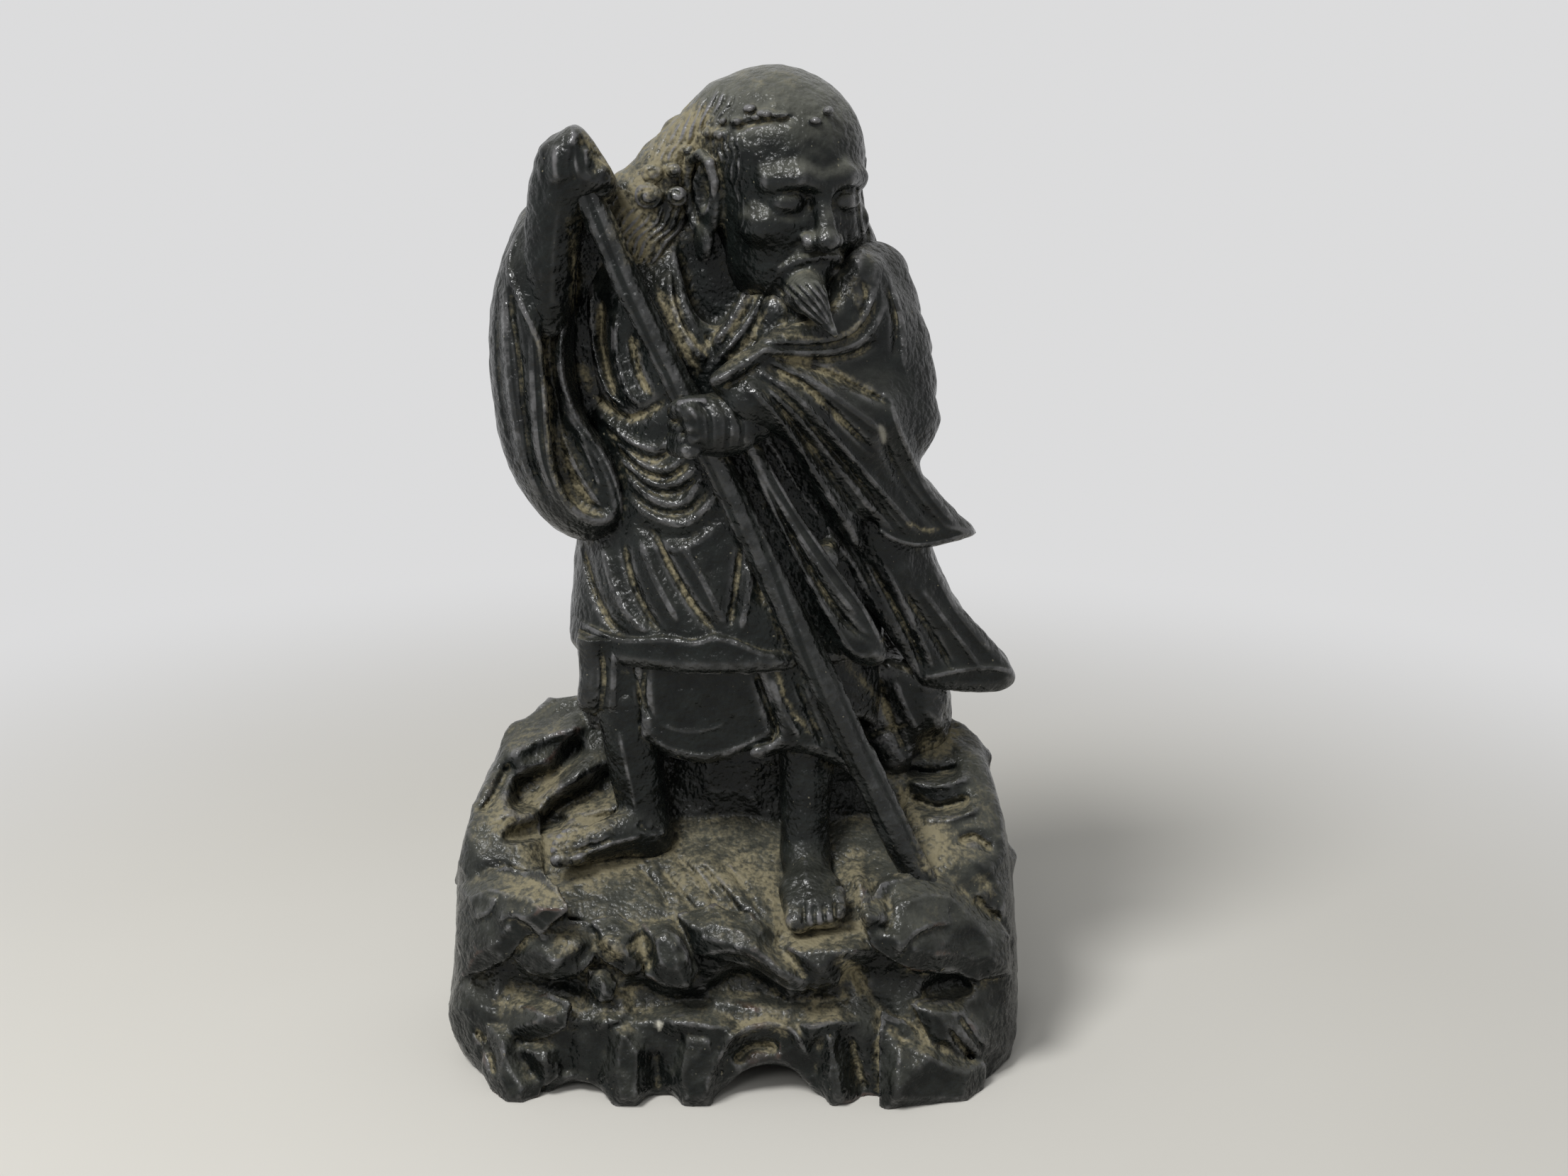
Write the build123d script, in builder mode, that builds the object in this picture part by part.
"""Cast iron okimono: a bearded old wanderer in wind-blown robes, leaning on a staff and standing on a rock.

Millimetres. +Z is up, the figure faces -Y, and the origin is on the floor under the middle of the rock.
The figure is cast in pieces. Dowels locate the pieces on each other, and a tie rod from inside the hollow
rock draws the robe down on the rock's column. Left and right are the figure's own.
"""

import os
from math import cos, radians, sin, sqrt, tan
from typing import NamedTuple

from build123d import *


class Section(NamedTuple):
    """A level oval cut through a casting."""

    height: float
    x: float
    y: float
    half_width: float
    half_depth: float


class Facet(NamedTuple):
    """A flat face hewn on the rock, by a point on it and the way it looks."""

    point: tuple
    outward: tuple


class Boulder(NamedTuple):
    """A boulder on the rock's front: a point of its face, the face's turn to the left, and its outline."""

    point: tuple
    turn: float
    outline: list


class Pit(NamedTuple):
    """A long hollow worn in the rock, round at both ends."""

    start: tuple
    end: tuple
    radius: float


# Rock, a hollow casting that is open underneath
ROCK_WIDTH = 166.0
ROCK_DEPTH = 91.0
ROCK_CORNER = 36.0
ROCK_DRAFT = 5.0
ROCK_PEAK = 100.0
ROCK_WALL = 6.0
ROCK_FRONT = -ROCK_DEPTH / 2
HOLLOW_HEIGHT = 42.0
HOLLOW_DRAFT = 8.0
LEDGE_HEIGHT = 58.0
LEDGE_SLOPE = 25.0
LEDGE_FRONT = -20.0
SLOPE_ANGLE = 45.0
LIP_ANGLE = 30.0
LIP_RISE = 8.0
NICHE_LEFT = -52.0
NICHE_RIGHT = 46.0
COLUMN_LEFT = -20.0
COLUMN_RIGHT = 37.0
COLUMN_FRONT = -3.0
COLUMN_BACK = 22.0
SADDLE_LEFT = -44.0
SADDLE_RIGHT = 44.0
SADDLE_BACK = 27.0
ARCH_REACH = 30.0
RECESS_HALF_WIDTH = 62.0
RECESS_FOOT = 11.0
RECESS_DEPTH = 5.0
RECESS_TOP_DEPTH = 8.5
BOULDER_DEPTH = 14.0
BOULDER_EDGE = 4.0
BOULDER_TAPER = 38.0

# Height of the outer robe's hem, which every casting above it is set out from
HEM = 118.0
ROBE_WALL = 4.5

# Staff, between the middles of its two ends
STAFF_TOP = Vector(-36.8, -24.0, HEM + 124.0)
STAFF_FOOT = Vector(49.3, LEDGE_FRONT - 8.0, LEDGE_HEIGHT + 2.0)
STAFF_TOP_RADIUS = 3.4
STAFF_FOOT_RADIUS = 4.3
STAFF_SOCKET = 6.0
STAFF_CLEARANCE = 0.3

# Head, on its own tilted and turned plane
HEAD_CENTRE = Vector(12.5, -3.0, HEM + 123.5)
HEAD_BOW = 18.0
HEAD_TURN = 24.0
BEARD_TIP = Vector(24.5, -31.0, HEM + 88.0)
BEARD_ROOT = Vector(20.0, -20.0, HEM + 108.0)
BEARD_ROOT_RADIUS = 7.0
BEARD_TIP_RADIUS = 1.5

# Hardware: a tie rod with its nut and washer, and dowels that locate the castings on each other
TIE_RADIUS = 3.0
TIE_CLEARANCE = 0.3
TIE_X = 8.0
TIE_Y = 9.0
TIE_GRIP = 20.0
TIE_TAIL = 4.0
NUT_ACROSS_FLATS = 10.0
NUT_THICKNESS = 5.0
NUT_CLEARANCE = 0.1
WASHER_RADIUS = 9.0
WASHER_THICKNESS = 1.6
DOWEL_RADIUS = 2.0
DOWEL_CLEARANCE = 0.1
SLEEVE_DOWEL_LENGTH = 12.0
ARM_DOWEL_LENGTH = 14.0
FOOT_DOWEL_LENGTH = 16.0
NECK_DOWEL_RADIUS = 4.0
NECK_DOWEL_LENGTH = 24.0

# Level cuts through the castings, from the lowest up
ROBE = [
    Section(HEM, -2.0, 4.0, 42.0, 28.5),
    Section(HEM + 6.0, -2.0, 4.0, 43.0, 29.0),
    Section(HEM + 27.0, -1.0, 4.5, 41.5, 27.0),
    Section(HEM + 47.0, 0.0, 5.0, 40.0, 26.0),
    Section(HEM + 67.0, 0.0, 6.0, 39.5, 26.5),
    Section(HEM + 87.0, 0.0, 7.5, 38.0, 27.0),
    Section(HEM + 102.0, 2.0, 9.0, 32.0, 24.5),
    Section(HEM + 115.0, 5.0, 10.0, 20.0, 18.0),
]
UNDER_ROBE = [
    Section(HEM - 27.0, 0.0, 1.0, 42.0, 24.0),
    Section(HEM - 14.0, -0.5, 1.5, 43.0, 25.0),
    Section(HEM + 3.0, -1.5, 2.5, 41.0, 26.5),
]
RIGHT_SLEEVE = [
    Section(HEM + 28.5, -39.0, -8.0, 7.0, 8.0),
    Section(HEM + 34.0, -40.5, -7.0, 12.0, 13.0),
    Section(HEM + 43.0, -43.0, -5.5, 14.0, 15.5),
    Section(HEM + 56.0, -47.0, -4.5, 14.5, 16.5),
    Section(HEM + 74.0, -49.0, -4.0, 14.3, 17.0),
    Section(HEM + 92.0, -49.0, -3.5, 13.8, 16.8),
    Section(HEM + 104.0, -48.0, -2.0, 11.0, 14.0),
    Section(HEM + 112.0, -47.5, -1.0, 7.0, 9.0),
    Section(HEM + 116.0, -47.0, 0.0, 3.5, 5.0),
]
RIGHT_ARM = [
    Section(HEM + 84.0, -46.0, -17.0, 6.0, 5.5),
    Section(HEM + 90.0, -45.7, -17.3, 6.3, 5.8),
    Section(HEM + 96.0, -45.3, -17.6, 6.6, 6.1),
    Section(HEM + 104.0, -44.6, -18.0, 6.9, 6.4),
    Section(HEM + 111.0, -44.0, -18.0, 7.0, 6.8),
    Section(HEM + 118.0, -43.0, -18.0, 7.2, 7.0),
    Section(HEM + 126.0, -39.5, -18.5, 10.5, 9.0),
    Section(HEM + 133.0, -39.0, -18.0, 8.5, 8.0),
    Section(HEM + 137.5, -38.8, -18.0, 4.0, 4.0),
]
LEFT_ARM = [
    Section(HEM + 37.0, 32.0, -2.0, 12.0, 14.0),
    Section(HEM + 47.0, 33.0, -3.0, 15.0, 18.0),
    Section(HEM + 63.0, 34.0, -3.0, 15.6, 20.0),
    Section(HEM + 78.0, 33.0, -1.0, 15.0, 19.0),
    Section(HEM + 94.0, 30.0, 2.0, 13.0, 16.0),
    Section(HEM + 104.0, 26.0, 5.0, 9.0, 11.0),
]
# The head's cuts are on its own plane, where height is from its centre and -y is forward
HEAD = [
    Section(-26.0, 0.0, -12.0, 6.5, 6.5),
    Section(-19.0, 0.0, -9.0, 12.0, 13.0),
    Section(-8.0, 0.0, -2.0, 17.5, 21.0),
    Section(4.0, 0.0, 0.0, 20.5, 24.0),
    Section(14.0, 0.0, 1.0, 20.5, 24.0),
    Section(22.0, 0.0, 2.0, 15.5, 18.5),
    Section(27.0, 0.0, 2.0, 7.0, 8.5),
]

# Shins, from the ankle up to the hem
RIGHT_SHIN = [
    Section(LEDGE_HEIGHT + 3.0, -22.5, -12.0, 6.5, 6.5),
    Section(LEDGE_HEIGHT + 14.0, -24.5, -12.0, 6.8, 6.5),
    Section(LEDGE_HEIGHT + 32.0, -30.0, -12.0, 8.2, 7.0),
    Section(HEM, -32.0, -11.0, 8.5, 6.5),
]
LEFT_SHIN = [
    Section(LEDGE_HEIGHT + 1.0, 20.0, -17.0, 6.5, 6.5),
    Section(LEDGE_HEIGHT + 12.0, 20.0, -16.0, 6.5, 6.0),
    Section(LEDGE_HEIGHT + 28.0, 20.5, -13.0, 7.5, 6.5),
    Section(HEM, 21.0, -12.0, 8.0, 6.5),
]

# Feet: heel and toes on the ledge, with the half width of the sole and the height of the instep
RIGHT_HEEL = Vector(-18.0, -11.5, LEDGE_HEIGHT + 3.0)
RIGHT_TOES = Vector(-48.0, -23.5, LEDGE_HEIGHT + 1.0)
LEFT_HEEL = Vector(19.5, -12.0, LEDGE_HEIGHT + 4.5)
LEFT_TOES = Vector(25.5, -39.5, LEDGE_HEIGHT - 7.5)
FOOT_HALF_WIDTH = 6.8
INSTEP_HEIGHT = 7.0

# Drapes: an upright plane for each, by the point it passes through and how far it turns back to the left side
WING_POINT = (4.0, -34.0)
WING_TURN = 26.0
WING_DEPTH = 26.0
LOBE_POINT = (4.0, -31.0)
LOBE_TURN = 10.0
LOBE_DEPTH = 22.0
TAIL_POINT = (32.0, -25.0)
TAIL_TURN = 26.0
TAIL_DEPTH = 17.0
DRAPE_EDGE = 2.0
TRAIN_DRAFT = 8.0
TRAIN_FRONT = -4.0

# Right sleeve: how deep its mouth is, and how far back its open side is cut
MOUTH_BACK = -14.0
OPEN_SIDE_BACK = -6.0
SLEEVE_CUT_FRONT = -40.0

# Left forearm inside its sleeve, and the hand that holds the staff
LEFT_ELBOW = Vector(36.0, -15.0, HEM + 63.0)
LEFT_WRIST = Vector(4.0, -28.0, HEM + 67.0)
ELBOW_RADIUS = 13.0
WRIST_RADIUS = 9.0
LEFT_HAND = (-3.5, -28.5, HEM + 66.0)
HAND_LENGTH = 22.0
HAND_DEPTH = 15.0
HAND_HEIGHT = 15.0
HAND_EDGE = 5.0


def wing_outline():
    """The left sleeve's wind-blown drape, as distances along its plane and heights."""
    return [
        (-9.5, HEM + 77.0),
        (0.5, HEM + 84.0),
        (15.5, HEM + 90.0),
        (23.0, HEM + 94.0),
        (27.0, HEM + 104.0),
        (33.0, HEM + 107.0),
        (40.5, HEM + 99.0),
        (48.5, HEM + 79.5),
        (50.0, HEM + 62.0),
        (48.0, HEM + 50.5),
        (68.0, HEM + 30.5),
        (52.0, HEM + 28.0),
        (44.5, HEM + 30.0),
        (37.5, HEM + 36.5),
        (33.0, HEM + 29.5),
        (11.0, HEM + 61.5),
        (0.5, HEM + 73.5),
    ]


def mouth_outline():
    """The right sleeve's open mouth, below the forearm, as places across and heights."""
    return [
        (-44.0, HEM + 92.0),
        (-47.5, HEM + 84.0),
        (-46.5, HEM + 60.0),
        (-45.0, HEM + 50.0),
        (-41.5, HEM + 42.5),
        (-35.5, HEM + 38.5),
        (-30.0, HEM + 41.0),
        (-34.5, HEM + 55.0),
        (-41.0, HEM + 65.0),
        (-43.0, HEM + 80.0),
    ]


def open_side_outline():
    """What is open between the right sleeve's mouth and the chest."""
    return [
        (-40.5, HEM + 98.0),
        (-41.0, HEM + 72.0),
        (-38.5, HEM + 62.0),
        (-32.0, HEM + 52.0),
        (-28.5, HEM + 42.0),
        (-15.0, HEM + 42.0),
        (-15.0, HEM + 98.0),
    ]


def lobe_outline():
    """The rounded lobe of sleeve that hangs beside the staff."""
    return [
        (5.5, HEM + 58.0),
        (10.5, HEM + 35.5),
        (18.0, HEM + 16.5),
        (24.0, HEM + 6.5),
        (30.0, HEM + 1.5),
        (37.0, HEM + 3.0),
        (38.0, HEM + 8.0),
        (33.0, HEM + 16.0),
        (23.5, HEM + 30.0),
        (14.0, HEM + 45.0),
    ]


def tail_outline():
    """The lower tail of cloth that the wind lifts behind the sleeve."""
    return [
        (-2.0, HEM + 34.0),
        (24.0, HEM + 32.0),
        (30.0, HEM + 13.0),
        (40.5, HEM + 3.0),
        (50.0, HEM - 10.5),
        (47.5, HEM - 13.5),
        (41.0, HEM - 13.0),
        (23.0, HEM - 8.0),
        (9.5, HEM + 12.0),
    ]


def train_outline():
    """Plan of the robe's train, which falls on the rock behind the left leg."""
    return [
        (28.0, TRAIN_FRONT),
        (46.0, TRAIN_FRONT + 1.0),
        (59.0, 4.0),
        (58.0, 18.0),
        (46.0, 25.0),
        (28.0, 25.0),
    ]


def loft_levels(sections, plane=Plane.XY, mode=Mode.ADD):
    """Adds, or takes away, a body that passes through level ovals of a plane."""
    ovals = []
    for cut in sections:
        with BuildSketch(plane.offset(cut.height)) as oval:
            with Locations((cut.x, cut.y)):
                Ellipse(cut.half_width, cut.half_depth)
        ovals.append(oval.sketch)
    loft(ovals, mode=mode)


def thinned(sections, wall):
    """The same level ovals, smaller by a wall all round."""
    return [
        cut._replace(half_width=cut.half_width - wall, half_depth=cut.half_depth - wall)
        for cut in sections
    ]


def upright_plane(point, turn):
    """An upright plane that looks forward, turned back towards the figure's left. Its y is height."""
    across = (cos(radians(turn)), sin(radians(turn)), 0)
    outward = (sin(radians(turn)), -cos(radians(turn)), 0)
    return Plane(origin=(*point, 0), x_dir=across, z_dir=outward)


def add_drape(outline, plane, depth):
    """Adds a slab of cloth behind an upright plane, with its front edges eased."""
    with BuildSketch(plane) as shape:
        Polygon(*outline, align=None)
    extrude(shape.sketch, amount=-depth)
    front = faces().sort_by(Axis(plane.origin, plane.z_dir))[-1]
    chamfer(front.edges(), DRAPE_EDGE)


def cut_front(outline, front, back):
    """Takes an upright prism out of a casting, from its front to a depth."""
    with BuildSketch(Plane.XZ.offset(-back)) as shape:
        Polygon(*outline, align=None)
    extrude(shape.sketch, amount=back - front, mode=Mode.SUBTRACT)


def add_boulder(boulder):
    """Adds a boulder to the rock's front, with a bevel round its face."""
    with BuildSketch(upright_plane(boulder.point, boulder.turn).offset(-BOULDER_EDGE)) as shape:
        Polygon(*boulder.outline, align=None)
    extrude(shape.sketch, amount=-BOULDER_DEPTH)
    extrude(shape.sketch, amount=BOULDER_EDGE, taper=BOULDER_TAPER)


def add_foot(heel, toes):
    """Adds a bare foot as a loft from the heel to the toes, along the ledge."""
    along = toes - heel
    across = Vector(-along.Y, along.X, 0)
    ovals = []
    for share, width, rise in FOOT_CUTS:
        centre = heel + along * share + Vector(0, 0, INSTEP_HEIGHT * rise / 2)
        with BuildSketch(Plane(origin=centre, x_dir=across, z_dir=along)) as oval:
            Ellipse(FOOT_HALF_WIDTH * width, INSTEP_HEIGHT * rise)
        ovals.append(oval.sketch)
    loft(ovals)


def add_lock(points, radii):
    """Adds a lock of hair as a loft of circles along its points."""
    rounds = []
    for place, (point, radius) in enumerate(zip(points, radii)):
        ahead = points[min(place + 1, len(points) - 1)]
        behind = points[max(place - 1, 0)]
        with BuildSketch(Plane(origin=point, x_dir=(0, 1, 0), z_dir=ahead - behind)) as round_cut:
            Circle(radius)
        rounds.append(round_cut.sketch)
    loft(rounds)


def rod_between(start, end, start_radius, end_radius, mode=Mode.ADD):
    """Adds, or takes away, a round rod that tapers from one point to another."""
    along = end - start
    with BuildSketch(Plane(origin=start, z_dir=along)) as first:
        Circle(start_radius)
    with BuildSketch(Plane(origin=end, z_dir=along)) as last:
        Circle(end_radius)
    loft([first.sketch, last.sketch], mode=mode)


def cut_pit(pit):
    """Takes a long hollow with round ends out of the rock."""
    rod_between(Vector(pit.start), Vector(pit.end), pit.radius, pit.radius, mode=Mode.SUBTRACT)
    with Locations(pit.start, pit.end):
        Sphere(pit.radius, mode=Mode.SUBTRACT)


def add_dowels(dowels, length, radius):
    """Adds straight dowels by their middles and the ways they point."""
    for middle, way in dowels:
        half = way.normalized() * (length / 2)
        rod_between(middle - half, middle + half, radius, radius)


def cut_by(*carriers):
    """Takes the room of the pieces that carry this one out of it, so that it seats on them."""
    for carrier in carriers:
        add(carrier.part, mode=Mode.SUBTRACT)


def side_of(cut, y, side):
    """A point on an oval's left (+1) or right (-1) side."""
    reach = cut.half_width * sqrt(1 - ((y - cut.y) / cut.half_depth) ** 2)
    return Vector(cut.x + side * reach, y, cut.height)


def front_of(cut, x):
    """A point on an oval's front."""
    reach = cut.half_depth * sqrt(1 - ((x - cut.x) / cut.half_width) ** 2)
    return Vector(x, cut.y - reach, cut.height)


def lip_at(y):
    """Height of the rock's upper slope, behind the ledge."""
    return LEDGE_HEIGHT + LIP_RISE + (y - LEDGE_FRONT) * tan(radians(LIP_ANGLE))


def ledge_at(y):
    """Height of the ledge that the feet stand on."""
    return LEDGE_HEIGHT + (y - LEDGE_FRONT) * tan(radians(LEDGE_SLOPE))


# The part of the robe that is hollow, which the tie rod's hole opens into
ROBE_CAVITY = ROBE[2:6]

# Share of the foot's length, share of its half width and share of the instep's height
FOOT_CUTS = [(0.0, 0.62, 0.7), (0.3, 0.85, 0.95), (0.7, 1.0, 0.62), (1.0, 0.85, 0.4)]

# Hair that falls from the crown to the nape and the shoulders: the points and radii of each lock
NAPE_LOCK = [
    Vector(6.0, 4.0, HEM + 128.0),
    Vector(-14.0, 9.0, HEM + 121.0),
    Vector(-27.0, 10.0, HEM + 113.0),
    Vector(-33.0, 10.0, HEM + 106.0),
]
NAPE_RADII = [19.0, 16.0, 11.0, 4.0]
RIGHT_LOCK = [
    Vector(-4.0, -3.0, HEM + 121.0),
    Vector(-13.0, -8.0, HEM + 113.0),
    Vector(-20.0, -11.0, HEM + 101.0),
]
RIGHT_LOCK_RADII = [11.0, 8.5, 3.0]
LEFT_LOCK = [
    Vector(24.0, 4.0, HEM + 120.0),
    Vector(31.0, 0.0, HEM + 114.0),
    Vector(36.0, -3.0, HEM + 105.0),
]
LEFT_LOCK_RADII = [12.0, 8.0, 3.0]

# Faces hewn on the rock: the front slope and its lip, the left and right shoulders, the top, back and corners
SLOPE = radians(SLOPE_ANGLE)
LIP = radians(LIP_ANGLE)
ROCK_FACETS = [
    Facet((0.0, LEDGE_FRONT - 10.0, LEDGE_HEIGHT - 2.0), (0.0, -sin(SLOPE), cos(SLOPE))),
    Facet((0.0, LEDGE_FRONT, LEDGE_HEIGHT + LIP_RISE), (0.0, -sin(LIP), cos(LIP))),
    Facet((-67.0, 14.0, ROCK_PEAK - 21.0), (-0.94, -0.05, 0.34)),
    Facet((-60.0, 14.0, ROCK_PEAK - 11.5), (-0.62, -0.1, 0.78)),
    Facet((74.0, 14.0, ROCK_PEAK - 28.0), (0.97, -0.05, 0.22)),
    Facet((66.0, 14.0, ROCK_PEAK - 17.0), (0.7, -0.1, 0.7)),
    Facet((0.0, 14.0, ROCK_PEAK), (0.2, 0.0, 0.98)),
    Facet((0.0, 38.0, ROCK_PEAK - 40.0), (0.1, 0.95, 0.3)),
    Facet((-58.0, 38.0, ROCK_PEAK - 50.0), (-0.62, 0.75, 0.25)),
    Facet((58.0, 38.0, ROCK_PEAK - 56.0), (0.62, 0.75, 0.22)),
    Facet((-56.0, -40.0, ROCK_PEAK - 66.0), (-0.5, -0.8, 0.33)),
    Facet((58.0, -40.0, ROCK_PEAK - 64.0), (0.55, -0.78, 0.3)),
    Facet((-30.0, 40.0, ROCK_PEAK - 46.0), (-0.34, 0.92, 0.18)),
    Facet((34.0, 41.0, ROCK_PEAK - 60.0), (0.34, 0.92, 0.18)),
]
# Boulders of the lip, set out from the ledge, and of the row below it
BOULDERS = [
    Boulder(
        (-59.0, ROCK_FRONT + 7.5),
        -25.0,
        [
            (-20.0, LEDGE_HEIGHT - 4.0),
            (-7.0, LEDGE_HEIGHT + 4.5),
            (13.0, LEDGE_HEIGHT + 5.0),
            (19.0, LEDGE_HEIGHT),
            (2.0, LEDGE_HEIGHT - 15.0),
            (-19.0, LEDGE_HEIGHT - 27.0),
        ],
    ),
    Boulder(
        (-46.0, ROCK_FRONT + 1.5),
        -6.0,
        [
            (-10.5, LEDGE_HEIGHT - 8.0),
            (0.0, LEDGE_HEIGHT - 3.5),
            (11.0, LEDGE_HEIGHT - 7.0),
            (9.0, LEDGE_HEIGHT - 17.0),
            (0.0, LEDGE_HEIGHT - 22.5),
            (-10.0, LEDGE_HEIGHT - 18.0),
        ],
    ),
    Boulder(
        (-30.0, ROCK_FRONT + 0.5),
        0.0,
        [
            (-7.5, LEDGE_HEIGHT - 7.0),
            (0.0, LEDGE_HEIGHT - 3.5),
            (7.0, LEDGE_HEIGHT - 8.0),
            (6.5, LEDGE_HEIGHT - 19.0),
            (-5.0, LEDGE_HEIGHT - 18.0),
        ],
    ),
    Boulder(
        (-17.0, ROCK_FRONT),
        0.0,
        [
            (-7.5, LEDGE_HEIGHT - 6.0),
            (2.5, LEDGE_HEIGHT - 4.5),
            (8.5, LEDGE_HEIGHT - 18.0),
            (5.5, LEDGE_HEIGHT - 24.0),
            (-5.0, LEDGE_HEIGHT - 22.5),
        ],
    ),
    Boulder(
        (3.5, ROCK_FRONT),
        0.0,
        [
            (-17.0, LEDGE_HEIGHT - 3.5),
            (-7.0, LEDGE_HEIGHT - 0.5),
            (3.0, LEDGE_HEIGHT - 4.5),
            (17.0, LEDGE_HEIGHT - 22.0),
            (2.0, LEDGE_HEIGHT - 18.5),
            (-15.0, LEDGE_HEIGHT - 14.5),
        ],
    ),
    Boulder(
        (26.0, ROCK_FRONT),
        0.0,
        [
            (-13.0, LEDGE_HEIGHT - 10.5),
            (-2.0, LEDGE_HEIGHT - 7.0),
            (9.0, LEDGE_HEIGHT - 7.0),
            (13.5, LEDGE_HEIGHT - 14.0),
            (-1.0, LEDGE_HEIGHT - 24.5),
            (-10.5, LEDGE_HEIGHT - 19.0),
        ],
    ),
    Boulder(
        (54.0, ROCK_FRONT + 7.0),
        18.0,
        [
            (-23.0, LEDGE_HEIGHT - 1.5),
            (-15.0, LEDGE_HEIGHT + 6.0),
            (5.0, LEDGE_HEIGHT + 5.0),
            (24.0, LEDGE_HEIGHT - 15.0),
            (22.0, LEDGE_HEIGHT - 27.0),
            (-6.0, LEDGE_HEIGHT - 18.5),
        ],
    ),
    Boulder(
        (-60.0, ROCK_FRONT + 9.0),
        -25.0,
        [(-21.0, 12.0), (-13.0, 24.0), (10.0, 34.0), (22.0, 32.0), (20.0, 25.0), (-9.0, 5.0)],
    ),
    Boulder(
        (-52.0, ROCK_FRONT + 1.5),
        -12.0,
        [(-8.0, 17.5), (2.0, 21.0), (8.5, 18.5), (7.0, 9.0), (-2.0, 6.0)],
    ),
    Boulder(
        (-32.5, ROCK_FRONT + 0.5),
        0.0,
        [(-7.0, 25.0), (-2.0, 29.0), (6.0, 28.5), (6.0, 21.5), (-4.5, 18.5)],
    ),
    Boulder(
        (-10.0, ROCK_FRONT),
        0.0,
        [(-12.5, 25.0), (-7.0, 29.5), (8.0, 28.5), (12.5, 24.0), (7.0, 17.5), (-7.5, 19.0)],
    ),
    Boulder((26.0, ROCK_FRONT), 0.0, [(-9.5, 25.0), (-5.0, 29.0), (4.5, 29.0), (9.0, 24.5), (-3.5, 18.0)]),
    Boulder(
        (60.5, ROCK_FRONT + 6.5),
        22.0,
        [(-15.0, 30.5), (-6.0, 32.5), (6.0, 27.0), (14.5, 11.0), (8.0, 7.0), (-8.5, 20.0)],
    ),
]
# Pits beside the right leg, and the clefts on the left shoulder
PITS = [
    Pit((-60.0, -6.0, lip_at(-6.0)), (-47.0, 6.0, lip_at(6.0)), 5.0),
    Pit((-50.0, -12.0, lip_at(-12.0)), (-40.0, -4.0, lip_at(-4.0)), 5.0),
    Pit((49.0, 0.0, lip_at(0.0)), (63.0, 1.0, lip_at(1.0)), 3.5),
    Pit((51.0, -8.5, lip_at(-8.5)), (66.0, -8.0, lip_at(-8.0)), 3.5),
]
# Arches under the front edge: their middles across the rock, half widths and heights
ARCHES = [(9.0, 9.5, 10.0), (-46.0, 7.0, 5.0), (-20.0, 6.0, 3.0), (40.0, 9.0, 3.0)]

# Dowels, by their middles and the ways they point
SLEEVE_DOWELS = [
    (side_of(ROBE[5], 0.0, -1), Vector(1, 0, 0)),
    (side_of(ROBE[4], 2.0, 1), Vector(1, 0, 0)),
    (front_of(ROBE[2], 24.0), Vector(0, 1, 0)),
    (side_of(ROBE[2], -6.0, 1), Vector(4, -3, 0)),
]
ARM_DOWELS = [
    (Vector(-46.0, -15.0, HEM + 102.0), Vector(0, 0, 1)),
    (LEFT_WRIST, LEFT_WRIST - LEFT_ELBOW),
]
FOOT_DOWELS = [
    (Vector(-22.5, -12.0, ledge_at(-12.0)), Vector(0, 0, 1)),
    (Vector(20.0, -17.0, ledge_at(-17.0)), Vector(0, 0, 1)),
]
NECK_DOWELS = [(Vector(9.0, 4.0, ROBE[-1].height - 1.0), Vector(1, -1, 10))]

STAFF_END = STAFF_FOOT + (STAFF_FOOT - STAFF_TOP).normalized() * STAFF_SOCKET

with BuildPart() as sleeve_dowels:
    add_dowels(SLEEVE_DOWELS, SLEEVE_DOWEL_LENGTH, DOWEL_RADIUS)

with BuildPart() as arm_dowels:
    add_dowels(ARM_DOWELS, ARM_DOWEL_LENGTH, DOWEL_RADIUS)

with BuildPart() as foot_dowels:
    add_dowels(FOOT_DOWELS, FOOT_DOWEL_LENGTH, DOWEL_RADIUS)

with BuildPart() as neck_dowel:
    add_dowels(NECK_DOWELS, NECK_DOWEL_LENGTH, NECK_DOWEL_RADIUS)

with BuildPart() as staff:
    rod_between(STAFF_TOP, STAFF_END, STAFF_TOP_RADIUS, STAFF_FOOT_RADIUS)

washer_foot = HOLLOW_HEIGHT - WASHER_THICKNESS
nut_foot = washer_foot - NUT_THICKNESS
with BuildPart() as tie_washer:
    with BuildSketch(Plane.XY.offset(washer_foot)):
        with Locations((TIE_X, TIE_Y)):
            Circle(WASHER_RADIUS)
            Circle(TIE_RADIUS + TIE_CLEARANCE, mode=Mode.SUBTRACT)
    extrude(amount=WASHER_THICKNESS)

with BuildPart() as tie_nut:
    with BuildSketch(Plane.XY.offset(nut_foot)):
        with Locations((TIE_X, TIE_Y)):
            RegularPolygon(NUT_ACROSS_FLATS / 2, 6, major_radius=False)
            Circle(TIE_RADIUS + NUT_CLEARANCE, mode=Mode.SUBTRACT)
    extrude(amount=NUT_THICKNESS)

with BuildPart() as tie_rod:
    with BuildSketch(Plane.XY.offset(nut_foot - TIE_TAIL)):
        with Locations((TIE_X, TIE_Y)):
            Circle(TIE_RADIUS)
    extrude(amount=HEM + TIE_GRIP - nut_foot + TIE_TAIL)
    chamfer(edges().filter_by(GeomType.CIRCLE), TIE_RADIUS / 5)

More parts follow.
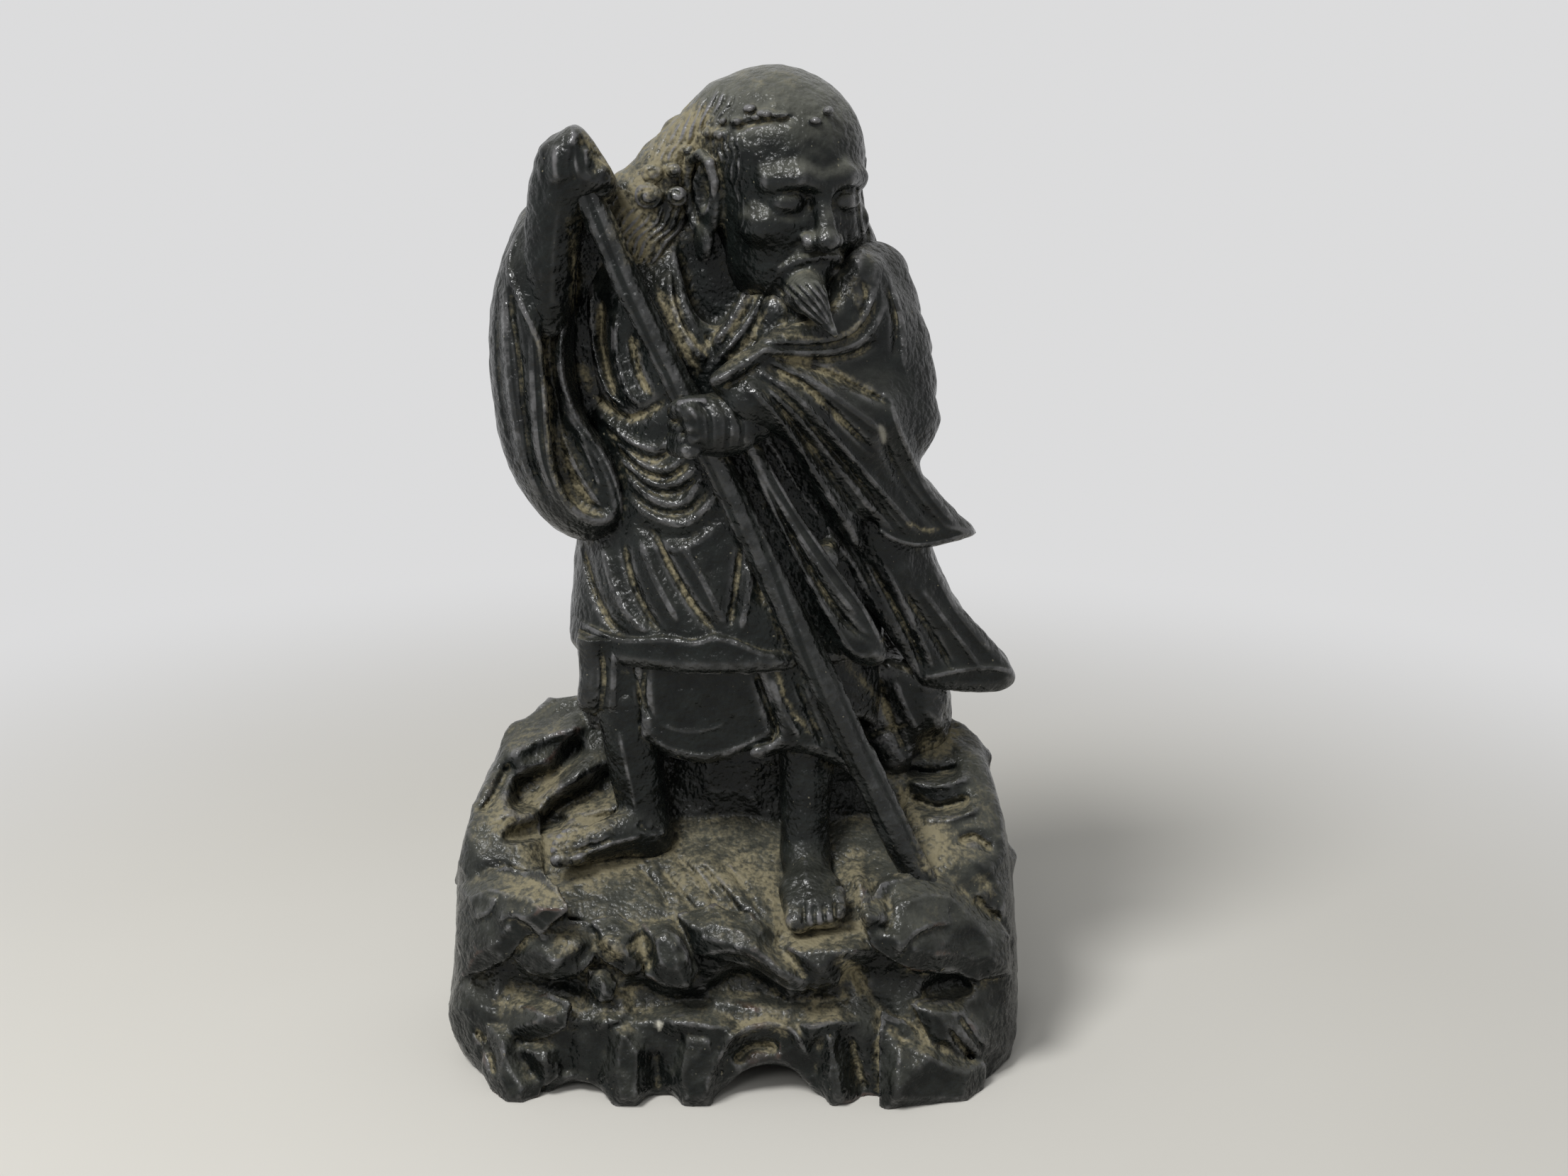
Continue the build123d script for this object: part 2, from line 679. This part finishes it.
# Room for the staff and the hardware, taken out of every casting
with BuildPart() as fitting_room:
    add_dowels(SLEEVE_DOWELS, SLEEVE_DOWEL_LENGTH, DOWEL_RADIUS + DOWEL_CLEARANCE)
    add_dowels(ARM_DOWELS, ARM_DOWEL_LENGTH, DOWEL_RADIUS + DOWEL_CLEARANCE)
    add_dowels(FOOT_DOWELS, FOOT_DOWEL_LENGTH, DOWEL_RADIUS + DOWEL_CLEARANCE)
    add_dowels(NECK_DOWELS, NECK_DOWEL_LENGTH, NECK_DOWEL_RADIUS + DOWEL_CLEARANCE)
    rod_between(STAFF_TOP, STAFF_END, STAFF_TOP_RADIUS + STAFF_CLEARANCE, STAFF_FOOT_RADIUS + STAFF_CLEARANCE)
    with BuildSketch(Plane.XY.offset(HOLLOW_HEIGHT / 2)):
        with Locations((TIE_X, TIE_Y)):
            Circle(TIE_RADIUS + TIE_CLEARANCE)
    extrude(amount=ROBE_CAVITY[1].height - HOLLOW_HEIGHT / 2)

with BuildPart() as rock_base:
    with BuildSketch():
        RectangleRounded(ROCK_WIDTH, ROCK_DEPTH, ROCK_CORNER)
    extrude(amount=ROCK_PEAK, taper=ROCK_DRAFT)
    for facet in ROCK_FACETS:
        split(bisect_by=Plane(origin=facet.point, z_dir=facet.outward), keep=Keep.BOTTOM)
    with BuildSketch(Plane.YZ.offset(NICHE_LEFT)):
        Polygon(
            (COLUMN_FRONT, ledge_at(COLUMN_FRONT)),
            (-ROCK_DEPTH, ledge_at(-ROCK_DEPTH)),
            (-ROCK_DEPTH, ROCK_PEAK + HEM),
            (COLUMN_FRONT, ROCK_PEAK + HEM),
            align=None,
        )
    extrude(amount=NICHE_RIGHT - NICHE_LEFT, mode=Mode.SUBTRACT)
    with BuildSketch(Plane.XY.offset(LEDGE_HEIGHT)):
        with Locations(((COLUMN_LEFT + COLUMN_RIGHT) / 2, (COLUMN_FRONT + COLUMN_BACK) / 2)):
            Rectangle(COLUMN_RIGHT - COLUMN_LEFT, COLUMN_BACK - COLUMN_FRONT)
    extrude(amount=HEM - LEDGE_HEIGHT)
    with BuildSketch(Plane.YZ.offset(SADDLE_LEFT)):
        Polygon(
            (COLUMN_BACK / 2, LEDGE_HEIGHT),
            (COLUMN_BACK / 2, UNDER_ROBE[0].height),
            (SADDLE_BACK, UNDER_ROBE[0].height),
            (SADDLE_BACK, LEDGE_HEIGHT),
            align=None,
        )
    extrude(amount=SADDLE_RIGHT - SADDLE_LEFT)
    with BuildSketch(Plane.YZ.offset(-RECESS_HALF_WIDTH)):
        Polygon(
            (ROCK_FRONT - RECESS_DEPTH, RECESS_FOOT),
            (ROCK_FRONT + RECESS_DEPTH / 2, RECESS_FOOT),
            (ROCK_FRONT + RECESS_DEPTH, RECESS_FOOT + 2 * RECESS_DEPTH),
            (ROCK_FRONT + RECESS_TOP_DEPTH, LEDGE_HEIGHT),
            (ROCK_FRONT - RECESS_DEPTH, LEDGE_HEIGHT),
            align=None,
        )
    extrude(amount=2 * RECESS_HALF_WIDTH, mode=Mode.SUBTRACT)
    for boulder in BOULDERS:
        add_boulder(boulder)
    for pit in PITS:
        cut_pit(pit)
    with BuildSketch():
        RectangleRounded(ROCK_WIDTH - 2 * ROCK_WALL, ROCK_DEPTH - 2 * ROCK_WALL, ROCK_CORNER - ROCK_WALL)
    extrude(amount=HOLLOW_HEIGHT, taper=HOLLOW_DRAFT, mode=Mode.SUBTRACT)
    for middle, half_width, rise in ARCHES:
        with BuildSketch(Plane.XZ.offset(ROCK_DEPTH / 2 - ARCH_REACH)):
            with Locations((middle, 0)):
                Ellipse(half_width, rise)
        extrude(amount=ARCH_REACH * 2, mode=Mode.SUBTRACT)
    cut_by(fitting_room)

with BuildPart() as robe_outside:
    loft_levels(ROBE)

with BuildPart() as robe:
    add(robe_outside.part)
    loft_levels(thinned(ROBE_CAVITY, ROBE_WALL), mode=Mode.SUBTRACT)
    cut_by(fitting_room)

with BuildPart() as right_leg:
    loft_levels(RIGHT_SHIN)
    add_foot(RIGHT_HEEL, RIGHT_TOES)
    cut_by(rock_base, robe_outside, fitting_room)

with BuildPart() as left_leg:
    loft_levels(LEFT_SHIN)
    add_foot(LEFT_HEEL, LEFT_TOES)
    cut_by(rock_base, robe_outside, fitting_room)

with BuildPart() as under_robe:
    loft_levels(UNDER_ROBE)
    cut_by(rock_base, robe_outside, right_leg, left_leg, fitting_room)

with BuildPart() as robe_train:
    with BuildSketch(Plane.XY.offset(lip_at(TRAIN_FRONT))):
        Polygon(*train_outline(), align=None)
    extrude(amount=HEM - lip_at(TRAIN_FRONT), taper=TRAIN_DRAFT)
    cut_by(rock_base, robe_outside, under_robe, left_leg, fitting_room)

with BuildPart() as right_sleeve:
    loft_levels(RIGHT_SLEEVE)
    cut_front(mouth_outline(), SLEEVE_CUT_FRONT, MOUTH_BACK)
    cut_front(open_side_outline(), SLEEVE_CUT_FRONT, OPEN_SIDE_BACK)
    cut_by(robe_outside, fitting_room)

with BuildPart() as right_forearm:
    loft_levels(RIGHT_ARM)
    cut_by(right_sleeve, robe_outside, fitting_room)

with BuildPart() as left_sleeve:
    add_drape(wing_outline(), upright_plane(WING_POINT, WING_TURN), WING_DEPTH)
    loft_levels(LEFT_ARM)
    rod_between(LEFT_ELBOW, LEFT_WRIST, ELBOW_RADIUS, WRIST_RADIUS)
    cut_by(robe_outside, fitting_room)

with BuildPart() as sleeve_lobe:
    add_drape(lobe_outline(), upright_plane(LOBE_POINT, LOBE_TURN), LOBE_DEPTH)
    cut_by(robe_outside, left_sleeve, under_robe, fitting_room)

with BuildPart() as sleeve_tail:
    add_drape(tail_outline(), upright_plane(TAIL_POINT, TAIL_TURN), TAIL_DEPTH)
    cut_by(robe_outside, left_sleeve, sleeve_lobe, under_robe, robe_train, fitting_room)

with BuildPart() as left_hand:
    with Locations(LEFT_HAND):
        Box(HAND_LENGTH, HAND_DEPTH, HAND_HEIGHT)
    fillet(edges(), HAND_EDGE)
    cut_by(left_sleeve, robe_outside, fitting_room)

head_plane = Plane(origin=HEAD_CENTRE, x_dir=(1, 0, 0), z_dir=(0, 0, 1)).rotated((HEAD_BOW, 0, HEAD_TURN))
with BuildPart() as head:
    loft_levels(HEAD, head_plane)
    rod_between(BEARD_ROOT, BEARD_TIP, BEARD_ROOT_RADIUS, BEARD_TIP_RADIUS)
    add_lock(NAPE_LOCK, NAPE_RADII)
    add_lock(RIGHT_LOCK, RIGHT_LOCK_RADII)
    add_lock(LEFT_LOCK, LEFT_LOCK_RADII)
    cut_by(robe_outside, left_sleeve, right_forearm, right_sleeve, fitting_room)

PIECES = {
    "rock_base": rock_base,
    "robe": robe,
    "right_leg": right_leg,
    "left_leg": left_leg,
    "under_robe": under_robe,
    "robe_train": robe_train,
    "right_sleeve": right_sleeve,
    "right_forearm": right_forearm,
    "left_sleeve": left_sleeve,
    "sleeve_lobe": sleeve_lobe,
    "sleeve_tail": sleeve_tail,
    "left_hand": left_hand,
    "head": head,
    "staff": staff,
    "neck_dowel": neck_dowel,
    "sleeve_dowels": sleeve_dowels,
    "arm_dowels": arm_dowels,
    "foot_dowels": foot_dowels,
    "tie_rod": tie_rod,
    "tie_nut": tie_nut,
    "tie_washer": tie_washer,
}

os.makedirs("parts", exist_ok=True)
for name, piece in PIECES.items():
    piece.part.label = name
    export_step(piece.part, f"parts/{name}.step")
